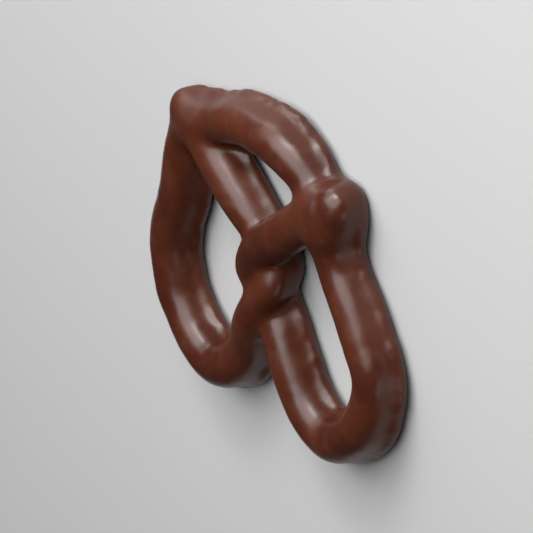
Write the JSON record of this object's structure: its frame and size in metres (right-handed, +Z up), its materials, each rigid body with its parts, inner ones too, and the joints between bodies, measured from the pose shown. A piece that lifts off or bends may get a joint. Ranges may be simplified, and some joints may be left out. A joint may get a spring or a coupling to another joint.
{
  "type": "chocolate covered pretzel",
  "caption": "Twisted pretzel coated all over in dark chocolate, with rounded lobes, a crossed middle and rope ends pressed onto the lower arc; it lies on its flat back.",
  "frame": {"origin": "on the underside, in the middle of the outline's box", "axes": "+X across both lobes, towards the far end of the arc in the picture; +Y from the lower arc to the lobes; +Z up from the flat back to the shown side"},
  "size_m": [0.0747, 0.0643, 0.0106],
  "materials": {
    "dark_chocolate": "satin dark chocolate coating"
  },
  "bodies": {
    "root": {"pretzel": "dark_chocolate"}
  },
  "joints": []
}
